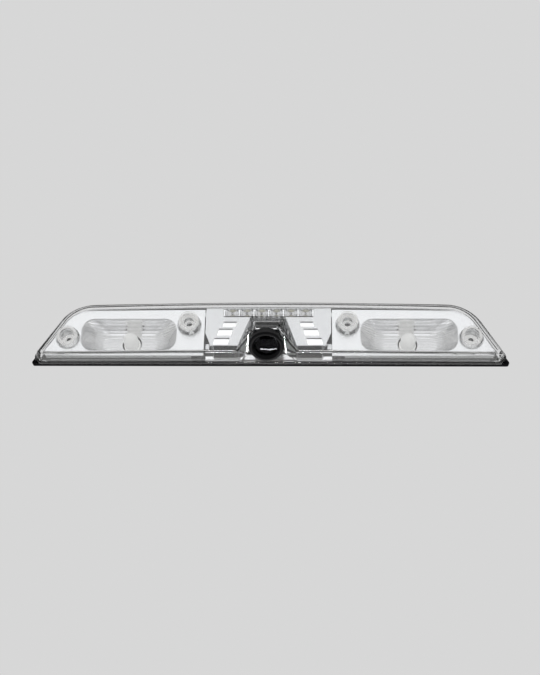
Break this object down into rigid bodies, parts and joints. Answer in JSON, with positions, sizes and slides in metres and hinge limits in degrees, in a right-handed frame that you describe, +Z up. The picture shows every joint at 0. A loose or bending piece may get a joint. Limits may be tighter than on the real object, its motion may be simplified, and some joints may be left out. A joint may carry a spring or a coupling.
{
  "type": "third brake light",
  "caption": "High-mounted brake light for a pickup cab: clear lens over chromed LED reflectors, cargo lights at both ends and a rear camera in a central nacelle.",
  "frame": {"origin": "midway between the two inner screw holes, on the plane of the gasket's back face, where the lamp meets the cab", "axes": "+X along the lamp to the right seen from the lens side, -Y out of the lens away from the cab, +Z up along the mounting plane"},
  "size_m": [0.444, 0.0932, 0.0715],
  "materials": {
    "clear_lens": "water-clear moulded polycarbonate with a polished outer face",
    "seal_bead": "cured black bonding bead",
    "housing_plastic": "black moulded plastic, finely grained",
    "gasket_foam": "black closed-cell foam, fine pores",
    "metallised_bezel": "vacuum-metallised plastic, satin chrome",
    "metallised_reflector": "vacuum-metallised plastic, mirror bright, with fine flutes",
    "screw_steel": "zinc-plated steel",
    "diffuser_white": "milky white light guide",
    "circuit_board": "circuit laminate with a satin solder mask",
    "led_package": "white package with a pale yellow dome",
    "component_black": "black moulding compound",
    "header_plastic": "natural nylon",
    "bulb_diffuser": "frosted white bulb",
    "socket_plastic": "black glass-filled nylon",
    "seal_rubber": "black silicone rubber",
    "contact_metal": "tin-brass strip",
    "camera_black": "satin black moulding",
    "camera_ring_black": "semi-gloss black ring",
    "cover_glass": "clear coated window",
    "lens_glass": "coated optical glass",
    "bracket_plastic": "black moulded bracket",
    "lead_sheath": "black cable sheath",
    "inlet_plastic": "black moulded connector",
    "vent_plastic": "black breathable cap"
  },
  "bodies": {
    "lamp": {"outer_lens": "clear_lens", "lens_seal_bead": "seal_bead", "rear_housing": "housing_plastic", "perimeter_gasket": "gasket_foam", "screw_hole_seals": "gasket_foam", "centre_bezel": "metallised_bezel", "side_bezel_left": "metallised_bezel", "side_bezel_right": "metallised_bezel", "bezel_screws": "screw_steel", "brake_reflector_tray": "metallised_reflector", "slot_diffuser_left": "diffuser_white", "slot_diffuser_right": "diffuser_white", "brake_led_board": "circuit_board", "brake_leds": "led_package", "board_resistors": "component_black", "led_driver": "component_black", "board_header": "header_plastic", "board_screws": "screw_steel", "cargo_reflector_left": "metallised_reflector", "cargo_reflector_right": "metallised_reflector", "camera_body": "camera_black", "camera_back_cover": "camera_black", "camera_ring": "camera_ring_black", "camera_ring_seal": "seal_rubber", "camera_cover_glass": "cover_glass", "lens_barrel": "camera_ring_black", "front_lens_element": "lens_glass", "rear_lens_element": "lens_glass", "sensor_board": "circuit_board", "image_sensor": "component_black", "camera_bracket": "bracket_plastic", "camera_screws": "screw_steel", "camera_lead": "lead_sheath", "lamp_connector_inlet": "inlet_plastic", "lamp_connector_pins": "contact_metal", "camera_connector_inlet": "inlet_plastic", "camera_connector_pin": "contact_metal", "vent_caps": "vent_plastic"},
    "left_socket": {"cargo_socket_left": "socket_plastic", "socket_seal_left": "seal_rubber", "socket_contacts_left": "contact_metal", "cargo_bulb_left": "bulb_diffuser"},
    "right_socket": {"cargo_socket_right": "socket_plastic", "socket_seal_right": "seal_rubber", "socket_contacts_right": "contact_metal", "cargo_bulb_right": "bulb_diffuser"}
  },
  "joints": [
    {"name": "left_socket_twist", "type": "hinge", "parent": "lamp", "child": "left_socket", "pos_m": [-0.1302, 0.018, -0.0102], "axis": [0, 1, 0], "range_deg": [0, 45]},
    {"name": "right_socket_twist", "type": "hinge", "parent": "lamp", "child": "right_socket", "pos_m": [0.1302, 0.018, -0.0102], "axis": [0, 1, 0], "range_deg": [0, 45]}
  ]
}
